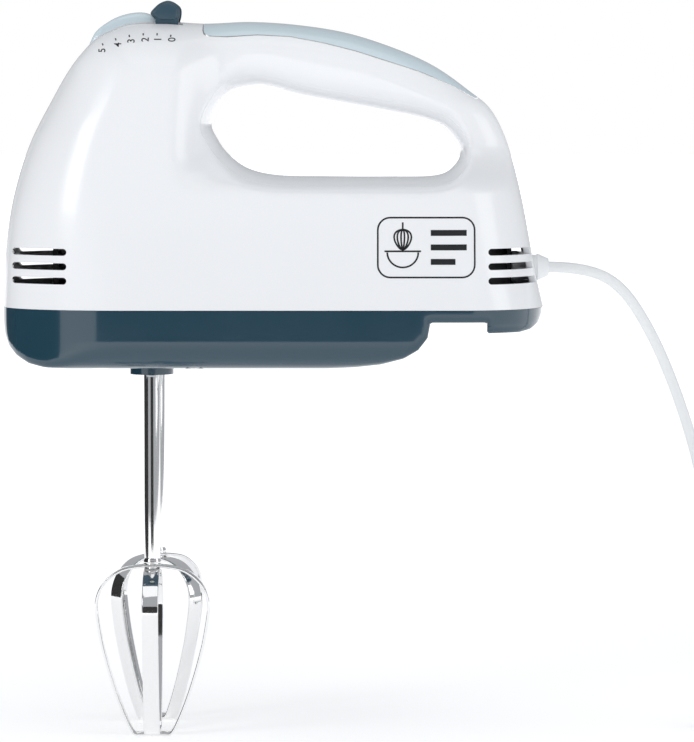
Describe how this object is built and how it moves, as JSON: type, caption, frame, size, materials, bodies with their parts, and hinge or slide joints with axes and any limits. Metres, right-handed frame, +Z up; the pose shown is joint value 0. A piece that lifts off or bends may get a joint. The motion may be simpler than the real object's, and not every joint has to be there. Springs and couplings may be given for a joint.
{
  "type": "hand mixer",
  "caption": "Hand-held electric mixer with loop handle, coloured base, sliding speed knob, worm-driven strip whisks and a coiled mains lead.",
  "frame": {"origin": "middle of the hand grip, inside the handle", "axes": "+Z up with the whisks pointing down, nose towards -X, cord towards +X, +Y to the user's right"},
  "size_m": [0.3273, 0.119, 0.27],
  "materials": {
    "white_abs": "glossy injection-moulded ABS",
    "teal_abs": "glossy injection-moulded ABS",
    "grey_blue_trim": "satin moulded ABS",
    "knob_plastic": "satin moulded ABS",
    "white_pvc": "soft PVC sheath",
    "natural_nylon": "moulded nylon",
    "black_plastic": "glass-filled nylon",
    "polished_chrome": "bright chrome plate",
    "plated_brass": "nickel-plated brass",
    "zinc_steel": "zinc-plated steel",
    "sintered_bronze": "oil-filled sintered bronze",
    "silicon_steel": "stacked laminations",
    "copper_winding": "enamelled copper wire",
    "carbon": "pressed carbon",
    "board_laminate": "phenolic laminate",
    "capacitor_resin": "moulded resin case",
    "lead_brown": "PVC insulation",
    "lead_blue": "PVC insulation"
  },
  "bodies": {
    "housing": {"base_screws": "zinc_steel", "base_tub": "teal_abs", "brush_holders": "black_plastic", "brush_springs": "zinc_steel", "carbon_brushes": "carbon", "clamp_bar": "natural_nylon", "clamp_saddle": "natural_nylon", "clamp_screws": "zinc_steel", "coil_tie": "black_plastic", "cord_coil": "white_pvc", "cord_gland": "white_pvc", "eject_spring": "zinc_steel", "field_coil_lower": "copper_winding", "field_coil_upper": "copper_winding", "front_bracket": "zinc_steel", "gear_bushes": "sintered_bronze", "gear_frame": "black_plastic", "handle_trim": "grey_blue_trim", "live_lead": "lead_brown", "motor_bolts": "zinc_steel", "motor_stator": "silicon_steel", "neutral_lead": "lead_blue", "nose_rail": "grey_blue_trim", "plug_body": "white_pvc", "plug_pins": "plated_brass", "power_cord": "white_pvc", "rear_bracket": "zinc_steel", "shaft_bearings": "sintered_bronze", "shell_left": "white_abs", "shell_right": "white_abs", "shell_screws": "zinc_steel", "socket_collars": "teal_abs", "suppression_capacitor": "capacitor_resin", "switch_board": "board_laminate", "switch_bracket": "black_plastic", "switch_contacts": "plated_brass", "thrust_pad": "black_plastic", "vent_baffle": "black_plastic"},
    "rotor": {"motor_shaft": "zinc_steel", "armature_core": "silicon_steel", "armature_winding": "copper_winding", "commutator": "copper_winding", "cooling_fan": "black_plastic", "worm": "zinc_steel"},
    "gear_left": {"gear_left": "natural_nylon"},
    "gear_right": {"gear_right": "natural_nylon"},
    "selector": {"speed_carrier": "natural_nylon", "switch_wiper": "plated_brass"},
    "knob": {"speed_knob": "knob_plastic"},
    "ejector": {"ejector_bar": "natural_nylon"},
    "thrust_cap_left": {"thrust_cap_left": "natural_nylon"},
    "thrust_cap_right": {"thrust_cap_right": "natural_nylon"},
    "beater_left": {"beater_shaft_left": "polished_chrome", "beater_loop_outer_left": "polished_chrome", "beater_loop_inner_left": "polished_chrome"},
    "beater_right": {"beater_shaft_right": "polished_chrome", "beater_loop_outer_right": "polished_chrome", "beater_loop_inner_right": "polished_chrome"}
  },
  "joints": [
    {"name": "motor_spin", "type": "hinge", "parent": "housing", "child": "rotor", "pos_m": [-0.012, 0, -0.077], "axis": [1, 0, 0], "continuous": true},
    {"name": "gear_left_spin", "type": "hinge", "parent": "housing", "child": "gear_left", "pos_m": [-0.069, -0.02, -0.077], "axis": [0, 0, 1], "continuous": true},
    {"name": "gear_right_spin", "type": "hinge", "parent": "housing", "child": "gear_right", "pos_m": [-0.069, 0.02, -0.077], "axis": [0, 0, 1], "continuous": true},
    {"name": "speed_select", "type": "hinge", "parent": "housing", "child": "selector", "pos_m": [-0.0669, 0, -0.0319], "axis": [0, -1, 0], "range_deg": [0, 30]},
    {"name": "knob_press", "type": "slide", "parent": "selector", "child": "knob", "axis": [-0.0663, 0, -0.9978], "range_m": [0, 0.0022], "stiffness_N_per_m": 600, "springref_m": -0.003},
    {"name": "ejector_slide", "type": "slide", "parent": "housing", "child": "ejector", "axis": [0, 0, -1], "range_m": [0, 0.0022], "deforming": ["eject_spring"]},
    {"name": "thrust_cap_left_slide", "type": "slide", "parent": "gear_left", "child": "thrust_cap_left", "axis": [0, 0, -1], "range_m": [0, 0.0022]},
    {"name": "thrust_cap_right_slide", "type": "slide", "parent": "gear_right", "child": "thrust_cap_right", "axis": [0, 0, -1], "range_m": [0, 0.0022]},
    {"name": "beater_left_out", "type": "slide", "parent": "thrust_cap_left", "child": "beater_left", "axis": [0, 0, -1], "range_m": [0, 0.055]},
    {"name": "beater_right_out", "type": "slide", "parent": "thrust_cap_right", "child": "beater_right", "axis": [0, 0, -1], "range_m": [0, 0.055]}
  ],
  "couplings": [
    {"joint": "gear_left_spin", "follows": "motor_spin", "ratio": 0.0625},
    {"joint": "gear_right_spin", "follows": "motor_spin", "ratio": -0.0625},
    {"joint": "ejector_slide", "follows": "knob_press", "ratio": 1},
    {"joint": "thrust_cap_left_slide", "follows": "knob_press", "ratio": 1},
    {"joint": "thrust_cap_right_slide", "follows": "knob_press", "ratio": 1}
  ]
}
